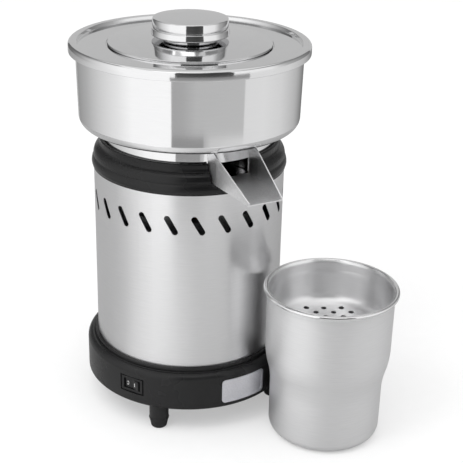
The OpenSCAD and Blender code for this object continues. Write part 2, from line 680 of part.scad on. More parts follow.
// ---- Bowl: rim bead, tapered wall, shelf, and a narrower sump that drains to the spout ----
bowl_foot_r = bowl_r - bowl_taper;
sump_r = neck_in_r - 0.6;
sump_floor = sump_z0 + bowl_t;
bead_z = rim_z - bead_r;
bead_mid_r = bowl_r + bead_r - bowl_t;
bowl_outline = concat(
    [[chimney_r, sump_z0], [sump_r - 4, sump_z0]],
    arc(sump_r - 4, sump_z0 + 4, 4, -90, 0, 4),
    [[sump_r, shelf_z]],
    arc(bowl_foot_r - bowl_corner, shelf_z + bowl_corner, bowl_corner, -90, 0, 7),
    [[bowl_r, bead_z - bead_r]],
    arc(bead_mid_r, bead_z, bead_r, -85, 150, 9),
    [[bowl_r - bowl_t, bead_z - bead_r]],
    arc(bowl_foot_r - bowl_corner, shelf_z + bowl_corner, bowl_corner - bowl_t, 0, -90, 7),
    [[sump_r - bowl_t, shelf_z + bowl_t]],
    arc(sump_r - 4, sump_z0 + 4, 4 - bowl_t, 0, -90, 4),
    [[chimney_r + bowl_t, sump_floor], [chimney_r + bowl_t, chimney_top], [chimney_r, chimney_top]]);
outlet_z1 = collar_top - 1;
module juice_bowl() color("#d4d5d7") difference() {
    turned(bowl_outline);
    // outlet into the spout
    at_bearing(spout_bearing) slab(sump_r - 12, sump_r + 4, spout_root_w - 1, sump_floor, outlet_z1);
}

// ---- Spout: folded sheet with triangular cheeks, welded to the sump ----
spout_tip_z = sump_z0 - 1.8;
cheek_top = shelf_z - gap;
cheek_flat_x = neck_r + 2.5;
cheek_tip_h = 2.8;
fold_x = collar_r + 2.5;
spout_back_x = sump_r - 20;
// The plan narrows from the fold to the tip, and the side view falls to the tip
module spout_plan(grow) translate([0, 0, sump_z0 - 20]) linear_extrude(height = 80) polygon([
    [spout_back_x, -spout_root_w / 2 - grow], [fold_x, -spout_root_w / 2 - grow],
    [spout_reach + cut, -spout_tip_w / 2 - grow], [spout_reach + cut, spout_tip_w / 2 + grow],
    [fold_x, spout_root_w / 2 + grow], [spout_back_x, spout_root_w / 2 + grow]]);
module spout_side(outline) translate([0, 60, 0]) rotate([90, 0, 0]) linear_extrude(height = 120)
    polygon(concat([[spout_back_x, sump_z0], [fold_x, sump_z0]], outline));
module spout() color("#c9cacc") at_bearing(spout_bearing) difference() {
    intersection() {
        spout_plan(spout_t);
        spout_side([[spout_reach, spout_tip_z], [spout_reach, spout_tip_z + cheek_tip_h],
            [cheek_flat_x, cheek_top], [spout_back_x, cheek_top]]);
    }
    translate([0, 0, spout_t]) intersection() {
        spout_plan(0);
        spout_side([[spout_reach + 1, spout_tip_z], [spout_reach + 1, shelf_z], [spout_back_x, shelf_z]]);
    }
    // the cheeks and the floor end on the round wall of the sump
    disc(sump_r, sump_z0 - cut, shelf_z + cut);
}

// ---- Lid: rounded flange over the bead, recess, plate, raised middle and a knob ----
lid_r = bead_mid_r + bead_r + lid_play + lid_t;
lid_top = rim_z + gap + lid_t;
lid_plate_z = lid_top - 3.8;
dome_edge_z = lid_plate_z + 1.3;
dome_top_z = lid_plate_z + 6.4;
flange_w = 9.4;
recess_r = lid_r - flange_w;
flange_round = 3.4;
knob_seat_r = 20;
lid_hole_r = 3.3;
lid_upper = concat(
    [[lid_r, lid_top - lid_skirt]], arc(lid_r - flange_round, lid_top - flange_round, flange_round, 0, 90, 5),
    [[recess_r + 1.5, lid_top], [recess_r + 0.3, lid_top - 0.8], [recess_r, lid_plate_z + 0.6],
     [recess_r - 1, lid_plate_z], [dome_r + 0.6, lid_plate_z], [dome_r, dome_edge_z]],
    [for (i = [1:6]) let (r = dome_r - (dome_r - knob_seat_r) * i / 6)
        [r, dome_edge_z + (dome_top_z - dome_edge_z) * sin(90 * i / 6)]],
    [[lid_hole_r, dome_top_z]]);
lid_lower = concat([[lid_hole_r, dome_top_z - lid_t]],
    [for (i = [6:-1:1]) let (r = dome_r - lid_t - (dome_r - knob_seat_r) * i / 6)
        [r, dome_edge_z - lid_t + (dome_top_z - dome_edge_z) * sin(90 * i / 6)]],
    [[dome_r - lid_t, dome_edge_z - lid_t], [dome_r - lid_t + 0.6, lid_plate_z - lid_t],
     [recess_r + lid_t - 0.6, lid_plate_z - lid_t], [recess_r + lid_t, lid_plate_z + 0.2],
     [recess_r + lid_t + 0.4, lid_top - lid_t]],
    arc(lid_r - flange_round, lid_top - flange_round, flange_round - lid_t, 90, 0, 5),
    [[lid_r - lid_t, lid_top - lid_skirt]]);
module lid() color("#d7d8da") turned(concat(lid_upper, lid_lower));

knob_lip_z = dome_top_z + 3.4;
knob_lip_r = knob_r + 2;
knob_top_z = knob_lip_z + knob_h;
knob_outline = concat([[0, dome_top_z], [knob_seat_r - 1, dome_top_z], [knob_seat_r - 2, knob_lip_z - 0.6],
    [knob_lip_r - 3, knob_lip_z]], arc(knob_lip_r - 1.1, knob_lip_z + 1.1, 1.1, -80, 80, 4),
    [[knob_r - 1.2, knob_lip_z + 3.2], [knob_r - 0.6, knob_lip_z + 6], [knob_r, knob_top_z - 2.4]],
    arc(knob_r - 1.6, knob_top_z - 1.6, 1.6, 0, 80, 4),
    [[knob_r * 0.62, knob_top_z + 0.7], [0, knob_top_z + 1]]);
knob_thread_r = 3;
knob_thread_len = 9;
module lid_knob() color("#dedfe1") difference() {
    turned(knob_outline);
    disc(knob_thread_r + fit, dome_top_z - cut, dome_top_z + knob_thread_len + gap);
}
module knob_screw() color("#b5b7b9") difference() {
    union() {
        disc(knob_thread_r, dome_top_z - lid_t - cut, dome_top_z + knob_thread_len);
        disc(5.5, dome_top_z - lid_t - 3, dome_top_z - lid_t);
    }
    for (a = [0, 90]) rotate([0, 0, a]) slab(-3.2, 3.2, 1.1, dome_top_z - lid_t - 4, dome_top_z - lid_t - 1.4);
}

// ---- Cup and the strainer that hangs in its mouth ----
cup_bead_r = 1.9;
cup_mouth_r = cup_rim_r - 3.2;
cup_upper_r = cup_rim_r - 4.3;
cup_corner = 11;
cup_step_top = cup_h * 0.605;
cup_step_foot = cup_h * 0.335;
// Smooth step between the cup's upper and lower parts
function cup_step(shift, from = 0, to = 8) = [for (i = [from:(to > from ? 1 : -1):to])
    let (t = i / 8, ease = (1 - cos(180 * t)) / 2)
    [cup_foot_r + (cup_upper_r - cup_foot_r) * ease - shift, cup_step_foot + (cup_step_top - cup_step_foot) * t]];
cup_outline = concat([[0, 1], [cup_foot_r - cup_corner - 8, 1], [cup_foot_r - cup_corner - 6.5, 0],
    [cup_foot_r - cup_corner, 0]], arc(cup_foot_r - 0.4 - cup_corner, cup_corner, cup_corner, -90, 0, 7),
    cup_step(0), [[cup_mouth_r - 0.9, cup_h - 12], [cup_mouth_r, cup_h - 4]],
    arc(cup_rim_r - cup_bead_r, cup_h - cup_bead_r, cup_bead_r, -110, 150, 8),
    [[cup_mouth_r - cup_t, cup_h - 4], [cup_mouth_r - 0.9 - cup_t, cup_h - 12]], cup_step(cup_t, 8, 0),
    arc(cup_foot_r - 0.4 - cup_corner, cup_corner, cup_corner - cup_t, 0, -90, 7),
    [[cup_foot_r - cup_corner - 6.5, cup_t], [cup_foot_r - cup_corner - 8, 1 + cup_t], [0, 1 + cup_t]]);
module cup() color("#cdced0") translate([cup_x, cup_y, 0]) turned(cup_outline);

strainer_t = 1;
strainer_r = cup_upper_r - cup_t - 0.6;
strainer_lip_r = cup_mouth_r - cup_t - gap;
strainer_z = cup_h - strainer_depth;
strainer_corner = 13;
strainer_dish = 1.5;
strainer_outline = concat([[0, strainer_z - strainer_dish]],
    arc(strainer_r - strainer_corner, strainer_z + strainer_corner, strainer_corner, -90, 0, 5),
    [[strainer_r, cup_h - 14], [strainer_lip_r - 0.6, cup_h - 11], [strainer_lip_r, cup_h - 3],
     [strainer_lip_r + 0.6, cup_h - 1.6], [strainer_lip_r + 0.2, cup_h - 0.6],
     [strainer_lip_r - strainer_t, cup_h - 2.6],
     [strainer_lip_r - 0.6 - strainer_t, cup_h - 11], [strainer_r - strainer_t, cup_h - 14]],
    arc(strainer_r - strainer_corner, strainer_z + strainer_corner, strainer_corner - strainer_t, 0, -90, 5),
    [[0, strainer_z - strainer_dish + strainer_t]]);
strainer_reach = strainer_r - 9;
strainer_n = floor(strainer_reach / strainer_pitch * 1.5);
module cup_strainer() color("#c6c7c9") translate([cup_x, cup_y, 0]) difference() {
    turned(strainer_outline);
    rotate([0, 0, 45]) for (i = [-strainer_n:strainer_n], j = [-strainer_n:strainer_n])
        let (x = (i + 0.5) * strainer_pitch, y = (j + 0.5) * strainer_pitch)
        if (norm([x, y]) < strainer_reach)
            translate([x, y, strainer_z - 4]) cylinder(r = strainer_hole_r, h = 16, $fn = 32);
}

base_shell();
base_plate();
legs();
rubber_feet();
foot_screws();
cord_grommet();
switch_housing();
switch_rocker();
terminal_block();
run_capacitor();
capacitor_clip();
body_shell();
tie_rods();
tie_rod_nuts();
top_collar();
collar_screws();
lower_end_shield();
upper_end_shield();
stator_core();
stator_windings();
motor_bolts();
lower_bearing();
upper_bearing();
shaft_seal();
motor_shaft();
rotor_core();
rotor_end_rings();
cooling_fan();
drive_pin();
reamer();
juice_bowl();
spout();
lid();
lid_knob();
knob_screw();
cup();
cup_strainer();
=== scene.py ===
"""Looks of the citrus press juicer: polished lid and bowl, brushed body, black mouldings and a spun cup."""
import math

import bmesh
import bpy
from mathutils import Matrix, Vector


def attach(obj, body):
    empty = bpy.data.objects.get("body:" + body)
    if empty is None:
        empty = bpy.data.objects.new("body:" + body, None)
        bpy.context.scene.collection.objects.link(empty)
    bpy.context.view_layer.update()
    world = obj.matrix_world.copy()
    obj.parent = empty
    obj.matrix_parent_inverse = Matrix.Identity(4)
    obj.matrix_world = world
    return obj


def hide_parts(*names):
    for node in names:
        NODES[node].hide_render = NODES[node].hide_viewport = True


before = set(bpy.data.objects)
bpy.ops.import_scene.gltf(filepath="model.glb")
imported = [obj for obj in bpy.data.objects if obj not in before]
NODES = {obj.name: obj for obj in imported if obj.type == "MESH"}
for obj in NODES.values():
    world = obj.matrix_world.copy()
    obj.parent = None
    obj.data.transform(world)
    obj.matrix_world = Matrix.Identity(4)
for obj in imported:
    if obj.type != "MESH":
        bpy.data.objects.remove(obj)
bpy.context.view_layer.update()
MM = 0.001

# Sizes in millimetres and degrees that the solids also have
CUP_AT = (142.5, -91.5)
SPOUT_BEARING = 26.5
SWITCH_BEARING = -32
SWITCH_Z = 47.6
ROCKER_THROW = 16
BASE_R = 108.9

# Points of a mesh that lie nearer than this, in metres, become one
WELD = 0.000004


# ---- Modelling helpers ----
def object_mode():
    if bpy.context.object and bpy.context.object.mode != "OBJECT":
        bpy.ops.object.mode_set(mode="OBJECT")


def select_only(*pieces):
    object_mode()
    bpy.ops.object.select_all(action="DESELECT")
    for piece in pieces:
        piece.select_set(True)
    bpy.context.view_layer.objects.active = pieces[0]


def clear_selection():
    object_mode()
    bpy.ops.object.select_all(action="DESELECT")


def name_piece(name):
    piece = bpy.context.object
    piece.name = name
    piece.data.name = name
    return piece


def at_bearing(bearing, radius, z):
    """A point in millimetres, at a bearing that is 0 at the front and grows towards the right."""
    angle = math.radians(bearing)
    return Vector((radius * math.sin(angle), -radius * math.cos(angle), z))


def freeze(piece):
    """Puts the piece's place and turn into its mesh, so that its origin is the frame's."""
    select_only(piece)
    bpy.ops.object.transform_apply(location=True, rotation=True, scale=True)
    return piece


def round_off(piece, corner, reach, segments):
    """Rounds one corner of a drawn profile, from "reach" before it to "reach" after it."""
    bpy.ops.mesh.select_all(action="DESELECT")
    mesh = bmesh.from_edit_mesh(piece.data)
    vertex = min(mesh.verts, key=lambda v: (v.co - corner).length)
    vertex.select_set(True)
    mesh.select_flush(True)
    bmesh.update_edit_mesh(piece.data)
    bpy.ops.mesh.bevel(offset_type="OFFSET", offset=reach * MM, segments=segments, affect="VERTICES")


def even_normals(piece, smooth):
    """Smooths across small angles and lets the large faces decide, so that they stay flat."""
    object_mode()
    select_only(piece)
    bpy.ops.object.shade_smooth_by_angle(angle=math.radians(smooth))
    modifier = piece.modifiers.new("large_faces_first", "WEIGHTED_NORMAL")
    modifier.keep_sharp = True
    bpy.ops.object.modifier_apply(modifier=modifier.name)
    return piece


def drawn(name, points):
    """A line through these points in metres, drawn point by point; stays in edit mode."""
    clear_selection()
    bpy.ops.mesh.primitive_plane_add(size=0.01, location=(0, 0, 0))
    piece = name_piece(name)
    bpy.ops.object.mode_set(mode="EDIT")
    bpy.ops.mesh.select_all(action="SELECT")
    bpy.ops.mesh.merge(type="CENTER")
    bpy.ops.transform.translate(value=points[0])
    for here, there in zip(points, points[1:]):
        bpy.ops.mesh.extrude_region_move(TRANSFORM_OT_translate={"value": there - here})
    return piece


def turned(name, corners, axis_at=(0, 0), steps=168, closed=True, smooth=34):
    """Draws a profile (radius, height, rounding), rounds its corners and spins it."""
    points = [Vector((axis_at[0] + c[0], axis_at[1], c[1])) * MM for c in corners]
    piece = drawn(name, points)
    if closed:
        bpy.ops.mesh.select_all(action="DESELECT")
        mesh = bmesh.from_edit_mesh(piece.data)
        for vertex in mesh.verts:
            vertex.select_set(len(vertex.link_edges) == 1)
        bmesh.update_edit_mesh(piece.data)
        bpy.ops.mesh.edge_face_add()
    for point, corner in zip(points, corners):
        if len(corner) > 2:
            round_off(piece, point, corner[2], max(3, min(14, round(2 + corner[2]))))
    bpy.ops.mesh.select_all(action="SELECT")
    centre = (axis_at[0] * MM, axis_at[1] * MM, 0)
    bpy.ops.mesh.spin(steps=steps, angle=2 * math.pi, center=centre, axis=(0, 0, 1), use_auto_merge=True)
    bpy.ops.mesh.select_all(action="SELECT")
    bpy.ops.mesh.remove_doubles(threshold=WELD)
    bpy.ops.mesh.normals_make_consistent(inside=False)
    return even_normals(piece, smooth)


def sector(name, radii, heights, bearings, steps=32):
    """A curved bar about the motor axis between two radii, two heights and two bearings."""
    start = at_bearing(bearings[0], 1, 0)
    inner, outer = radii
    low, high = heights
    corners = [(inner, low), (outer, low), (outer, high), (inner, high)]
    piece = drawn(name, [(start * r + Vector((0, 0, z))) * MM for r, z in corners])
    bpy.ops.mesh.select_all(action="SELECT")
    bpy.ops.mesh.edge_face_add()
    angle = math.radians(bearings[1] - bearings[0])
    bpy.ops.mesh.spin(steps=steps, angle=angle, center=(0, 0, 0), axis=(0, 0, -1))
    bpy.ops.mesh.select_all(action="SELECT")
    bpy.ops.mesh.remove_doubles(threshold=WELD)
    bpy.ops.mesh.normals_make_consistent(inside=False)
    return even_normals(piece, 30)


def block(name, size, centre, bearing=None):
    """A cube of this size; with a bearing its X side points away from the motor axis."""
    clear_selection()
    bpy.ops.mesh.primitive_cube_add(size=1, location=Vector(centre) * MM)
    piece = name_piece(name)
    piece.scale = Vector(size) * MM
    if bearing is not None:
        piece.rotation_euler = (0, 0, math.radians(bearing - 90))
    return freeze(piece)


def rounded_off(piece, width, segments=5):
    """Rounds every edge of a piece."""
    modifier = piece.modifiers.new("rounded_edges", "BEVEL")
    modifier.width = width * MM
    modifier.segments = segments
    select_only(piece)
    bpy.ops.object.modifier_apply(modifier=modifier.name)
    return piece


def joined(name, pieces):
    """Makes one piece of several."""
    select_only(*pieces)
    bpy.ops.object.join()
    return name_piece(name)


def carve(piece, *cutters, keep=False):
    """Cuts the cutters out of the piece, or keeps only what lies in them, and takes them away."""
    for cutter in cutters:
        modifier = piece.modifiers.new("cut", "BOOLEAN")
        modifier.operation = "INTERSECT" if keep else "DIFFERENCE"
        modifier.solver = "EXACT"
        modifier.object = cutter
        select_only(piece)
        bpy.ops.object.modifier_apply(modifier=modifier.name)
        bpy.data.objects.remove(cutter)
    return piece


# ---- Material helpers ----
# Greatest depth in metres of the grain's relief
RELIEF_DEPTH = 0.0002
# Scales of the large, soft changes in gloss on metal and on plastic
METAL_CLOUDS = 14
PLASTIC_CLOUDS = 22


def new_material(name, colour, metallic, roughness):
    """A plain material and its shader."""
    material = bpy.data.materials.new(name)
    material.use_nodes = True
    shader = material.node_tree.nodes["Principled BSDF"]
    shader.inputs["Base Color"].default_value = (*colour, 1)
    shader.inputs["Metallic"].default_value = metallic
    shader.inputs["Roughness"].default_value = roughness
    return material, shader


def noise(material, scale, stretch=(1, 1, 1), detail=3):
    """A noise in object space, stretched to give a grain."""
    nodes, links = material.node_tree.nodes, material.node_tree.links
    coords = nodes.new("ShaderNodeTexCoord")
    mapping = nodes.new("ShaderNodeMapping")
    mapping.inputs["Scale"].default_value = stretch
    texture = nodes.new("ShaderNodeTexNoise")
    texture.inputs["Scale"].default_value = scale
    texture.inputs["Detail"].default_value = detail
    links.new(coords.outputs["Object"], mapping.inputs["Vector"])
    links.new(mapping.outputs["Vector"], texture.inputs["Vector"])
    return texture.outputs["Fac"]


def spread(material, value, low, high, start=0.35, stop=0.65):
    """Maps the part of a value between "start" and "stop" onto a range."""
    node = material.node_tree.nodes.new("ShaderNodeMapRange")
    node.inputs["From Min"].default_value = start
    node.inputs["From Max"].default_value = stop
    node.inputs["To Min"].default_value = low
    node.inputs["To Max"].default_value = high
    material.node_tree.links.new(value, node.inputs["Value"])
    return node.outputs["Result"]


def tint(material, shader, value, dark, light):
    """Lets the base colour wander between two tones."""
    nodes, links = material.node_tree.nodes, material.node_tree.links
    ramp = nodes.new("ShaderNodeValToRGB")
    ramp.color_ramp.elements[0].position = 0.35
    ramp.color_ramp.elements[0].color = (*dark, 1)
    ramp.color_ramp.elements[1].position = 0.65
    ramp.color_ramp.elements[1].color = (*light, 1)
    links.new(value, ramp.inputs["Fac"])
    links.new(ramp.outputs["Color"], shader.inputs["Base Color"])


def relief(material, shader, value, strength):
    """Lets a noise raise the surface a little."""
    nodes, links = material.node_tree.nodes, material.node_tree.links
    bump = nodes.new("ShaderNodeBump")
    bump.inputs["Strength"].default_value = strength
    bump.inputs["Distance"].default_value = RELIEF_DEPTH
    links.new(value, bump.inputs["Height"])
    links.new(bump.outputs["Normal"], shader.inputs["Normal"])


def with_streaks(material, shader, amount):
    """Draws the highlights out along the axis, as the fine rings on spun or rolled metal do."""
    tangent = material.node_tree.nodes.new("ShaderNodeTangent")
    tangent.direction_type = "RADIAL"
    tangent.axis = "Z"
    material.node_tree.links.new(tangent.outputs["Tangent"], shader.inputs["Tangent"])
    shader.inputs["Anisotropic"].default_value = amount
    shader.inputs["Anisotropic Rotation"].default_value = 0.25


def metal(name, colour, roughness, grain, grain_scale, wander=0.05, bump=0.1, tone=0.04, streaks=0):
    """Metal with a grain in its tone, its gloss and its relief."""
    material, shader = new_material(name, colour, 1.0, roughness)
    if streaks:
        with_streaks(material, shader, streaks)
    lines = noise(material, grain_scale, grain)
    clouds = noise(material, METAL_CLOUDS)
    gloss = spread(material, clouds, max(0.01, roughness - wander), roughness + wander, 0.15, 0.85)
    material.node_tree.links.new(gloss, shader.inputs["Roughness"])
    dark = tuple(c * (1 - tone) for c in colour)
    light = tuple(min(1, c * (1 + tone)) for c in colour)
    tint(material, shader, lines, dark, light)
    relief(material, shader, lines, bump)
    return material


def burnish(material, height, roughness):
    """Polishes a material above a height in metres."""
    nodes, links = material.node_tree.nodes, material.node_tree.links
    shader = nodes["Principled BSDF"]
    coords = nodes.new("ShaderNodeTexCoord")
    split = nodes.new("ShaderNodeSeparateXYZ")
    links.new(coords.outputs["Object"], split.inputs["Vector"])
    above = spread(material, split.outputs["Z"], 0, 1, height, height + 0.001)
    mix = nodes.new("ShaderNodeMix")
    links.new(above, mix.inputs["Factor"])
    links.new(shader.inputs["Roughness"].links[0].from_socket, mix.inputs["A"])
    mix.inputs["B"].default_value = roughness
    links.new(mix.outputs["Result"], shader.inputs["Roughness"])


def plastic(name, colour, roughness, grain_scale=900, bump=0.08, tone=0.12, wander=0.05, sheen=0.3):
    """Moulded plastic or rubber with a fine texture."""
    material, shader = new_material(name, colour, 0.0, roughness)
    shader.inputs["Specular IOR Level"].default_value = sheen
    fine = noise(material, grain_scale)
    clouds = noise(material, PLASTIC_CLOUDS)
    gloss = spread(material, clouds, max(0.02, roughness - wander), roughness + wander)
    material.node_tree.links.new(gloss, shader.inputs["Roughness"])
    dark = tuple(c * (1 - tone) for c in colour)
    light = tuple(c * (1 + tone) for c in colour)
    tint(material, shader, clouds, dark, light)
    relief(material, shader, fine, bump)
    return material


# ---- Materials ----
# Grains: even, in rings round the axis, along the axis, and across
EVEN = (1, 1, 1)
RINGS = (0.4, 0.4, 14)
STACKED = (0.3, 0.3, 12)
UPRIGHT = (1, 1, 5)
THREADED = (1, 1, 6)
ACROSS = (10, 1, 1)

# Polished, satin and brushed sheet
POLISHED = metal("polished_steel", (0.76, 0.76, 0.765), 0.07, RINGS, 120,
    wander=0.015, bump=0.015, tone=0.01)
SATIN = metal("satin_steel", (0.86, 0.86, 0.865), 0.36, EVEN, 500, bump=0.05)
BODY = metal("brushed_body", (0.76, 0.76, 0.765), 0.28, RINGS, 160,
    wander=0.008, bump=0.03, tone=0.02, streaks=0.4)
CUP_METAL = metal("spun_aluminium", (0.82, 0.82, 0.825), 0.55, RINGS, 150,
    wander=0.03, bump=0.03, tone=0.02, streaks=0.5)
STRAINER_METAL = metal("drilled_aluminium", (0.84, 0.84, 0.845), 0.34, RINGS, 150,
    wander=0.03, bump=0.03, tone=0.02, streaks=0.6)
BADGE_SILVER = metal("badge_foil", (0.8, 0.8, 0.84), 0.35, EVEN, 600, bump=0.05)
# The cup's rolled rim is bright above this height in metres
CUP_RIM_Z = 0.156
burnish(CUP_METAL, CUP_RIM_Z, 0.1)

# Metals of the hidden parts
ZINC = metal("zinc_steel", (0.55, 0.56, 0.58), 0.34, EVEN, 240, wander=0.08, tone=0.08)
BRIGHT_STEEL = metal("screw_steel", (0.6, 0.6, 0.61), 0.25, THREADED, 240, wander=0.06, tone=0.06)
GROUND_STEEL = metal("ground_steel", (0.62, 0.62, 0.63), 0.18, RINGS, 200, wander=0.04, bump=0.05)
CAST_ALLOY = metal("cast_alloy", (0.55, 0.555, 0.56), 0.5, EVEN, 420, wander=0.08, bump=0.35, tone=0.1)
CAN_ALLOY = metal("can_aluminium", (0.7, 0.7, 0.705), 0.3, ACROSS, 200, bump=0.06, tone=0.05)
LAMINATIONS = metal("varnished_laminations", (0.24, 0.25, 0.27), 0.45, STACKED, 170,
    wander=0.06, bump=0.4, tone=0.2)
COPPER = metal("enamelled_copper", (0.55, 0.24, 0.1), 0.35, UPRIGHT, 260, wander=0.06, bump=0.3, tone=0.15)

# Mouldings, rubber and paint
BLACK = plastic("black_moulding", (0.01, 0.01, 0.0104), 0.27, 1400, bump=0.05)
LEG_BLACK = plastic("leg_moulding", (0.012, 0.012, 0.0125), 0.45, 1400)
RUBBER = plastic("black_rubber", (0.012, 0.012, 0.0125), 0.62, 700, bump=0.15)
SWITCH_BLACK = plastic("switch_moulding", (0.008, 0.008, 0.0085), 0.25, 1600, bump=0.03)
IVORY = plastic("ivory_moulding", (0.72, 0.68, 0.58), 0.5, bump=0.06, tone=0.05)
FAN_GREY = plastic("fan_moulding", (0.05, 0.05, 0.055), 0.5, bump=0.06)
REAMER_WHITE = plastic("reamer_moulding", (0.8, 0.78, 0.72), 0.3, bump=0.04, tone=0.03)
MARK_WHITE = plastic("mark_paint", (0.75, 0.75, 0.75), 0.5, bump=0.04, tone=0.04)


def paint(piece, material):
    """Gives the whole piece one material."""
    piece.data.materials.clear()
    piece.data.materials.append(material)
    return piece


NODE_MATERIALS = {
    "base_shell": BLACK, "base_plate": ZINC, "legs": LEG_BLACK, "rubber_feet": RUBBER,
    "foot_screws": BRIGHT_STEEL, "cord_grommet": RUBBER, "switch_housing": SWITCH_BLACK,
    "switch_rocker": SWITCH_BLACK, "terminal_block": IVORY, "run_capacitor": CAN_ALLOY,
    "capacitor_clip": ZINC, "body_shell": BODY, "tie_rods": BRIGHT_STEEL, "tie_rod_nuts": BRIGHT_STEEL,
    "top_collar": BLACK, "collar_screws": BRIGHT_STEEL, "lower_end_shield": CAST_ALLOY,
    "upper_end_shield": CAST_ALLOY, "stator_core": LAMINATIONS, "stator_windings": COPPER,
    "motor_bolts": BRIGHT_STEEL, "lower_bearing": GROUND_STEEL, "upper_bearing": GROUND_STEEL,
    "shaft_seal": RUBBER, "motor_shaft": GROUND_STEEL, "rotor_core": LAMINATIONS,
    "rotor_end_rings": CAST_ALLOY, "cooling_fan": FAN_GREY, "drive_pin": GROUND_STEEL,
    "reamer": REAMER_WHITE, "juice_bowl": POLISHED, "spout": SATIN, "lid": POLISHED,
    "lid_knob": POLISHED, "knob_screw": BRIGHT_STEEL, "cup": CUP_METAL, "cup_strainer": STRAINER_METAL,
}
for node_name, node_material in NODE_MATERIALS.items():
    paint(NODES[node_name], node_material)


# ---- Lid and knob ----
# Each outline is a list of corners: radius, height and how far the corner is rounded, in millimetres
def make_lid():
    """Lid with a turned-down edge, a flat flange, a thin step line and a middle that rises to the knob."""
    sheet = 1.2
    edge_r, edge_z, rim_z = 120, 377, 387
    recess_r, flange_z = 111.4, 383.2
    step_r, step_low_z, step_high_z = 82.4, 380.6, 385.4
    seat_r, seat_z, screw_r = 27.8, 389.6, 3.3
    lid = turned("turned_lid", [
        (edge_r - sheet, edge_z, 0.4), (edge_r, edge_z, 0.4), (edge_r, rim_z, 3.4), (recess_r, rim_z, 0.8),
        (recess_r - 0.8, flange_z, 0.7), (step_r + 0.7, flange_z, 0.2), (step_r + 0.5, step_low_z),
        (step_r - 0.5, step_low_z), (step_r - 0.8, step_high_z, 0.4), (seat_r, seat_z, 0.5),
        (screw_r, seat_z), (screw_r, seat_z - sheet),
        (seat_r, seat_z - sheet, 0.5), (step_r - 1.8, step_high_z - sheet, 0.3),
        (step_r - 1.5, step_low_z - 1, 0.3), (step_r + 1.5, step_low_z - 1, 0.3),
        (step_r + 1.9, flange_z - sheet, 0.3), (recess_r - 0.2, flange_z - sheet, 0.4),
        (recess_r + 0.9, rim_z - sheet, 0.5), (edge_r - sheet, rim_z - sheet, 2.2)])
    paint(lid, POLISHED)
    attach(lid, "lid_body")
    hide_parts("lid")


def make_knob():
    """Knob with a narrow foot, a lip, a thin groove over the lip and an upright side."""
    bore_r, bore_z = 3.05, 398.9
    foot_r, foot_z = 27, 389.7
    lip_r, lip_z = 39.3, 393.5
    side_r, groove_z, top_z = 37.3, 399.2, 410
    knob = turned("turned_knob", [
        (0, bore_z), (bore_r, bore_z), (bore_r, foot_z),
        (foot_r, foot_z, 0.4), (foot_r + 0.6, lip_z - 1.3, 1),
        (lip_r - 0.5, lip_z - 0.9, 0.4), (lip_r, lip_z, 0.4), (lip_r - 1.1, groove_z - 0.5, 0.3),
        (side_r - 0.1, groove_z, 0.2), (side_r + 0.3, groove_z + 0.7, 0.3), (side_r, top_z - 1, 1.4),
        (23.2, top_z - 0.2, 5), (0, top_z)], closed=False)
    paint(knob, POLISHED)
    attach(knob, "lid_body")
    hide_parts("lid_knob")


# ---- Bowl ----
def make_bowl():
    """Bowl with a rolled bead, a shelf, a narrower sump with its outlet, and the shaft's chimney."""
    sheet = 1.2
    chimney_r, chimney_z = 13, 307
    sump_r, sump_z = 87.9, 271.3
    wall_r, shelf_z = 111.5, 303.5
    bead_r, bead_z, rim_z = 117.2, 380.3, 385.5
    bowl = turned("turned_bowl", [
        (chimney_r, sump_z), (sump_r, sump_z, 3.6), (sump_r, shelf_z, 0.5), (wall_r, shelf_z, 9),
        (wall_r + 1.7, bead_z, 0.3), (bead_r, bead_z, 2.5),
        (bead_r, rim_z, 2.5), (wall_r + 0.5, rim_z, 2.2),
        (wall_r - sheet, shelf_z + sheet, 7.8), (sump_r - sheet, shelf_z + sheet, 0.8),
        (sump_r - sheet, sump_z + sheet, 2.4), (chimney_r + sheet, sump_z + sheet, 0.6),
        (chimney_r + sheet, chimney_z), (chimney_r, chimney_z)])
    outlet_size = (16, 42, 15.5)
    outlet = block("outlet_cutter", outlet_size, at_bearing(SPOUT_BEARING, 84, 280.25), SPOUT_BEARING)
    carve(bowl, outlet)
    paint(bowl, POLISHED)
    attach(bowl, "bowl")
    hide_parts("juice_bowl")


# ---- Cup and strainer ----
def make_cup():
    """Spun cup with a foot, a swept shoulder, a rolled rim and a slightly raised floor."""
    sheet = 1.2
    kick_r, kick_h = 38.6, 1
    foot_r, foot_z = 57.2, 66
    wall_r, wall_z = 63.7, 86
    neck_z = 150
    rim_r, rim_z, rim_h = 68, 162, 3.8
    cup = turned("spun_cup", [
        (0, kick_h), (kick_r, kick_h, 0.6), (kick_r + 1.5, 0, 0.6),
        (foot_r, 0, 11), (foot_r + 0.4, foot_z, 11),
        (wall_r, wall_z, 11), (wall_r + 0.2, neck_z, 5), (wall_r + 1.1, rim_z - rim_h, 0.5),
        (rim_r, rim_z - rim_h, 1.8), (rim_r, rim_z, 1.8),
        (wall_r + 0.6, rim_z, 1.6), (wall_r - 0.1, rim_z - 4, 1),
        (wall_r - 1, neck_z, 5), (wall_r - sheet, wall_z, 11), (foot_r - 0.8, foot_z, 11),
        (foot_r - sheet, sheet, 9.8), (kick_r + 1.4, sheet, 0.6), (kick_r, kick_h + sheet, 0.6),
        (0, kick_h + sheet)], CUP_AT, closed=False)
    paint(cup, CUP_METAL)
    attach(cup, "cup_body")
    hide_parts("cup")


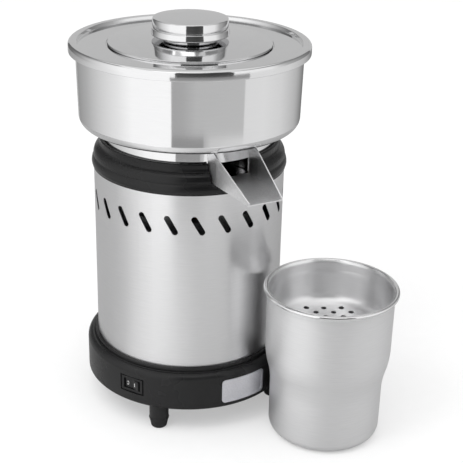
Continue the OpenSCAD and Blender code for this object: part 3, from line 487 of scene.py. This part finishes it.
def make_drill(hole_r, pitch, reach):
    """Round cutters on a square grid that stands at 45 degrees, out to a reach from the cup's axis."""
    rows = range(-5, 5)
    middle_z = 114
    drills = []
    for i in rows:
        for j in rows:
            across, along = (i + 0.5) * pitch, (j + 0.5) * pitch
            if math.hypot(across, along) > reach:
                continue
            x = CUP_AT[0] + (across - along) * math.sqrt(0.5)
            y = CUP_AT[1] + (across + along) * math.sqrt(0.5)
            clear_selection()
            bpy.ops.mesh.primitive_cylinder_add(
                vertices=28, radius=hole_r * MM, depth=20 * MM, location=(x * MM, y * MM, middle_z * MM))
            drills.append(bpy.context.object)
    return freeze(joined("drill", drills))


def make_strainer():
    """Pan that hangs in the cup's mouth, its floor drilled on a square grid."""
    sheet = 1
    pan_r, floor_z = 61.9, 113
    step_z, lip_z = 148, 151
    rim_r, rim_z = 63.3, 159
    strainer = turned("drilled_strainer", [
        (0, floor_z - 1.5), (pan_r, floor_z, 13),
        (pan_r, step_z, 3), (pan_r + 0.8, lip_z, 1), (rim_r, rim_z, 1),
        (rim_r + 0.6, rim_z + 1.4, 0.3), (rim_r + 0.2, rim_z + 2.4, 0.3), (rim_r - 1, rim_z + 0.4, 0.8),
        (pan_r - 0.2, lip_z, 1), (pan_r - sheet, step_z, 3), (pan_r - sheet, floor_z + sheet, 12),
        (0, floor_z - 1.5 + sheet)], CUP_AT, closed=False)
    carve(strainer, make_drill(hole_r=2.9, pitch=13, reach=52.9))
    paint(strainer, STRAINER_METAL)
    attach(strainer, "strainer_body")
    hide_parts("cup_strainer")


# ---- Badge and switch marks ----
def make_badge():
    """Bare plate with a raised frame on the front right of the base."""
    left, right = 18.8, 46
    middle = (left + right) / 2
    low, high = 32.5, 60
    back_r, face_r, pocket_r = 108.95, 109.75, 109.4
    frame_width = 2.3
    steps = 56
    width = 2 * BASE_R * math.sin(math.radians(right - left) / 2)
    height = 26.5
    place = at_bearing(middle, 110, 46.2)
    depth = 40
    plate = sector("rating_badge", (back_r, face_r), (low, high), (left - 3, right + 3), steps)
    outline = rounded_off(block("outline", (depth, width, height), place, middle), 4)
    carve(plate, outline, keep=True)
    pocket = sector("pocket", (pocket_r, 112), (20, 70), (left - 5, right + 5), steps)
    inner = rounded_off(block("inner", (depth, width - 2 * frame_width, 22), place, middle), 3)
    carve(pocket, inner, keep=True)
    carve(plate, pocket)
    paint(plate, BADGE_SILVER)
    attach(plate, "housing")


def on_rocker(across, out):
    """A point on the rocker: across it to the viewer's left, and out of its pivot line."""
    pivot_depth = 3
    turn = math.radians(-90 - ROCKER_THROW / 2)
    outward = BASE_R - pivot_depth + across * math.cos(turn) - out * math.sin(turn)
    sideways = across * math.sin(turn) + out * math.cos(turn)
    point = at_bearing(SWITCH_BEARING, outward, SWITCH_Z)
    return point + at_bearing(SWITCH_BEARING + 90, sideways, 0)


def make_marks():
    """The two marks of an on-off switch, printed on the halves of the dished rocker."""
    dish_depth, half_width = 1.2, 7.9
    slope = math.degrees(math.atan2(dish_depth, half_width))
    valley_out, rise = 1.02, 0.152
    ring_shape = (1, 0.62, 1)
    bar_size = (0.0002, 0.00062, 0.0042)
    for name, across in (("off_mark", 5.2), ("on_mark", -3.4)):
        side = math.copysign(1, across)
        place = on_rocker(across, valley_out + rise * abs(across)) * MM
        facing = math.radians(SWITCH_BEARING - 90 - ROCKER_THROW / 2 - side * slope)
        clear_selection()
        if name == "off_mark":
            bpy.ops.mesh.primitive_torus_add(major_radius=0.0019, minor_radius=0.00034, major_segments=48,
                minor_segments=10, location=place, rotation=(0, math.radians(90), facing))
            shape = ring_shape
        else:
            bpy.ops.mesh.primitive_cube_add(size=1, location=place, rotation=(0, 0, facing))
            shape = bar_size
        mark = name_piece(name)
        mark.scale = shape
        freeze(mark)
        paint(mark, MARK_WHITE)
        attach(mark, "rocker")


make_lid()
make_knob()
make_bowl()
make_cup()
make_strainer()
make_badge()
make_marks()


# ---- Floor and reflected studio ----
# Radius in millimetres of the screens that stand round the object
STUDIO_R = 850


def card(name, size, centre, turn, material):
    """A flat panel that only lights and reflects."""
    clear_selection()
    bpy.ops.mesh.primitive_plane_add(size=1, location=centre, rotation=turn)
    piece = name_piece(name)
    piece.scale = (size[0], size[1], 1)
    freeze(piece)
    paint(piece, material)
    return piece


def by_bearing(material, stops):
    """A grey that changes with the bearing round the motor axis: pairs of bearing and brightness."""
    nodes, links = material.node_tree.nodes, material.node_tree.links
    coords = nodes.new("ShaderNodeTexCoord")
    split = nodes.new("ShaderNodeSeparateXYZ")
    links.new(coords.outputs["Object"], split.inputs["Vector"])
    flip = nodes.new("ShaderNodeMath")
    flip.operation = "MULTIPLY"
    flip.inputs[1].default_value = -1
    links.new(split.outputs["Y"], flip.inputs[0])
    bearing = nodes.new("ShaderNodeMath")
    bearing.operation = "ARCTAN2"
    links.new(split.outputs["X"], bearing.inputs[0])
    links.new(flip.outputs["Value"], bearing.inputs[1])
    first, last = stops[0][0], stops[-1][0]
    place = spread(material, bearing.outputs["Value"], 0, 1, math.radians(first), math.radians(last))
    brightest = max(1, max(level for _, level in stops))
    ramp = nodes.new("ShaderNodeValToRGB")
    links.new(place, ramp.inputs["Fac"])
    marks = ramp.color_ramp.elements
    for at, level in stops:
        if at == first:
            mark = marks[0]
        elif at == last:
            mark = marks[-1]
        else:
            mark = marks.new((at - first) / (last - first))
        mark.color = (level / brightest, level / brightest, level / brightest, 1)
    return ramp.outputs["Color"], brightest


def glow_material(name, stops):
    """Light whose brightness changes with the bearing."""
    material = bpy.data.materials.new(name)
    material.use_nodes = True
    nodes, links = material.node_tree.nodes, material.node_tree.links
    nodes.clear()
    grey, brightest = by_bearing(material, stops)
    glow = nodes.new("ShaderNodeEmission")
    glow.inputs["Strength"].default_value = brightest
    links.new(grey, glow.inputs["Color"])
    output = nodes.new("ShaderNodeOutputMaterial")
    links.new(glow.outputs["Emission"], output.inputs["Surface"])
    return material


def floor_material():
    """Pale matt floor that the camera sees as white and polished metal sees as grey."""
    material, shader = new_material("studio_floor", (0.9, 0.9, 0.9), 0.0, 0.8)
    nodes, links = material.node_tree.nodes, material.node_tree.links
    grain = noise(material, 60, (1, 1, 1), 2)
    tint(material, shader, grain, (0.895, 0.895, 0.895), (0.905, 0.905, 0.905))
    mirrored = nodes.new("ShaderNodeBsdfDiffuse")
    grey, _ = by_bearing(material, MIRRORED_FLOOR)
    links.new(grey, mirrored.inputs["Color"])
    white = nodes.new("ShaderNodeEmission")
    path = nodes.new("ShaderNodeLightPath")
    seen = nodes.new("ShaderNodeMath")
    seen.operation = "MULTIPLY"
    seen.inputs[1].default_value = FLOOR_WHITENESS
    links.new(path.outputs["Is Camera Ray"], seen.inputs[0])
    below = shader.outputs["BSDF"]
    for chooser, above in ((seen.outputs["Value"], white), (path.outputs["Is Glossy Ray"], mirrored)):
        mix = nodes.new("ShaderNodeMixShader")
        links.new(chooser, mix.inputs["Fac"])
        links.new(below, mix.inputs[1])
        links.new(above.outputs[0], mix.inputs[2])
        below = mix.outputs["Shader"]
    links.new(below, nodes["Material Output"].inputs["Surface"])
    return material


def reflection_only(piece):
    """Hides a piece of the studio from all but reflections."""
    piece.visible_camera = False
    piece.visible_diffuse = False
    piece.visible_shadow = False
    return piece


def screen(name, heights, stops):
    """Curved light screen round the object, between two heights in millimetres."""
    first, last = stops[0][0], stops[-1][0]
    piece = drawn(name, [at_bearing(first, STUDIO_R, z) * MM for z in heights])
    bpy.ops.mesh.select_all(action="SELECT")
    angle = math.radians(last - first)
    bpy.ops.mesh.spin(steps=72, angle=angle, center=(0, 0, 0), axis=(0, 0, -1))
    object_mode()
    paint(piece, glow_material(name + "_light", stops))
    return reflection_only(piece)


# How bright polished metal sees the floor, by bearing, and how white the camera sees it over its shadows
MIRRORED_FLOOR = (
    (-150, 0.4), (-120, 0.42), (-93, 0.43), (-72, 0.5), (-56, 0.67), (-34, 0.78), (-15, 0.7), (10, 0.54),
    (50, 0.5), (120, 0.4), (180, 0.3))
FLOOR_WHITENESS = 0.4
# The floor's front edge lies nearer than the screens, so that upright metal sees them beyond it
card("studio_floor", (1.75, 3.4), (0.1, 1.1, 0), (0, 0, 0), floor_material())

# Below the floor's level: what the body and the collar see beyond the floor's edge
screen("low_left_screen", (-500, 0), (
    (-150, 0.12), (-120, 0.15), (-93, 0.25), (-72, 0.6), (-54, 1.4), (-34, 1.4), (-24, 1.2), (-17, 1.0)))
screen("low_right_screen", (-500, 0), ((-17, 0.75), (13, 0.75), (20, 1.0), (52.5, 1.3)))
# The bright left: the bowl shows its lower part, the lid's edge and the knob show the upper part
screen("left_screen", (0, 190), (
    (-150, 0.32), (-120, 0.52), (-93, 0.8), (-72, 1.0), (-56, 1.2), (-17, 1.22)))
screen("high_left_screen", (190, 1000), (
    (-150, 0.12), (-130, 0.2), (-112, 0.42), (-92, 0.78), (-75, 1.0), (-60, 1.2), (-12.5, 1.22)))
# The softer right, in the same two parts
screen("right_screen", (-500, 205), (
    (52.5, 0.88), (75, 0.9), (98, 0.82), (127, 0.56), (145, 0.3), (165, 0.12)))
screen("high_right_screen", (205, 1000), ((37.5, 1.1), (75, 1.0), (95, 0.5), (140, 0.16)))
# The gap between them: grey on the bowl's wall, paler on the ring under it, and a dark flag for the knob
screen("wall_screen", (35, 168), ((-17, 0.47), (-6, 0.5), (6, 0.6), (52.5, 0.62)))
screen("ring_screen", (0, 35), ((13, 0.5), (20, 0.72), (52.5, 0.85)))
screen("knob_flag", (194, 1000), ((-12.5, 0.09), (20, 0.06), (37.5, 0.09)))


def even_glow(name, level):
    """The same light at every bearing."""
    return glow_material(name, ((0, level), (180, level)))


# An upright sheet at the back that the lid's plates mirror, and a ceiling for the spout's floor
BACK_LIGHT = even_glow("back_card_light", 0.58)
reflection_only(card("back_card", (4, 2.4), (0, 2.6, 1.25), (math.radians(90), 0, 0), BACK_LIGHT))
CEILING_LIGHT = even_glow("ceiling_light", 0.85)
reflection_only(card("ceiling_card", (2.2, 2.2), (0, 0, 1.7), (0, 0, 0), CEILING_LIGHT))


# ---- Lamps and world ----
def add_lamp(name, kind):
    """A lamp of one of Blender's kinds, in the scene."""
    light = bpy.data.lights.new(name, kind)
    lamp = bpy.data.objects.new(name, light)
    bpy.context.scene.collection.objects.link(lamp)
    return lamp, light


def light_from_left():
    """Soft square lamp high on the front left, which metal doesn't mirror."""
    radiance = 6
    side = 0.7
    place, target = Vector((-1.0, -0.9, 1.9)), Vector((0, 0, 0.25))
    lamp, light = add_lamp("key_light", "AREA")
    light.shape = "RECTANGLE"
    light.size = side
    light.size_y = side
    light.energy = radiance * math.pi * side * side
    lamp.location = place
    lamp.rotation_euler = (target - place).to_track_quat("-Z", "Y").to_euler()
    lamp.visible_glossy = False


def light_from_above():
    """Broad soft light from above."""
    lamp, light = add_lamp("overhead_sun", "SUN")
    light.energy = 1.7
    light.angle = math.radians(70)
    lamp.rotation_euler = (math.radians(12), math.radians(-8), 0)


def backdrop(tree, level):
    """White light of one strength for the world."""
    background = tree.nodes.new("ShaderNodeBackground")
    background.inputs["Color"].default_value = (1, 1, 1, 1)
    background.inputs["Strength"].default_value = level
    return background.outputs["Background"]


def light_from_all_round():
    """World that the camera sees as white, metal as grey, and matt surfaces as soft light."""
    seen, mirrored, diffuse = 1.0, 0.33, 0.62
    world = bpy.data.worlds.new("studio")
    bpy.context.scene.world = world
    world.use_nodes = True
    tree = world.node_tree
    tree.nodes.clear()
    path = tree.nodes.new("ShaderNodeLightPath")
    light = backdrop(tree, diffuse)
    for kind_of_ray, level in (("Is Glossy Ray", mirrored), ("Is Camera Ray", seen)):
        mix = tree.nodes.new("ShaderNodeMixShader")
        tree.links.new(path.outputs[kind_of_ray], mix.inputs["Fac"])
        tree.links.new(light, mix.inputs[1])
        tree.links.new(backdrop(tree, level), mix.inputs[2])
        light = mix.outputs["Shader"]
    output = tree.nodes.new("ShaderNodeOutputWorld")
    tree.links.new(light, output.inputs["Surface"])


light_from_left()
light_from_above()
light_from_all_round()


# ---- Camera ----
scene = bpy.context.scene
scene.view_settings.view_transform = "Standard"

CAMERA_AT = (0.0008, -1.0676, 0.6445)
YAW = 0.0416
PITCH = 0.4096
ROLL = 0.0248
camera_data = bpy.data.cameras.new("camera")
camera_data.sensor_width = 36
camera_data.lens = 85.28
camera = bpy.data.objects.new("camera", camera_data)
scene.collection.objects.link(camera)
forward = Vector((math.sin(YAW) * math.cos(PITCH), math.cos(YAW) * math.cos(PITCH), -math.sin(PITCH)))
right = forward.cross(Vector((0, 0, 1))).normalized()
up = right.cross(forward)
right_rolled = math.cos(ROLL) * right + math.sin(ROLL) * up
up_rolled = -math.sin(ROLL) * right + math.cos(ROLL) * up
turn = Matrix((right_rolled, up_rolled, -forward)).transposed()
camera.matrix_world = Matrix.Translation(Vector(CAMERA_AT)) @ turn.to_4x4()
scene.camera = camera
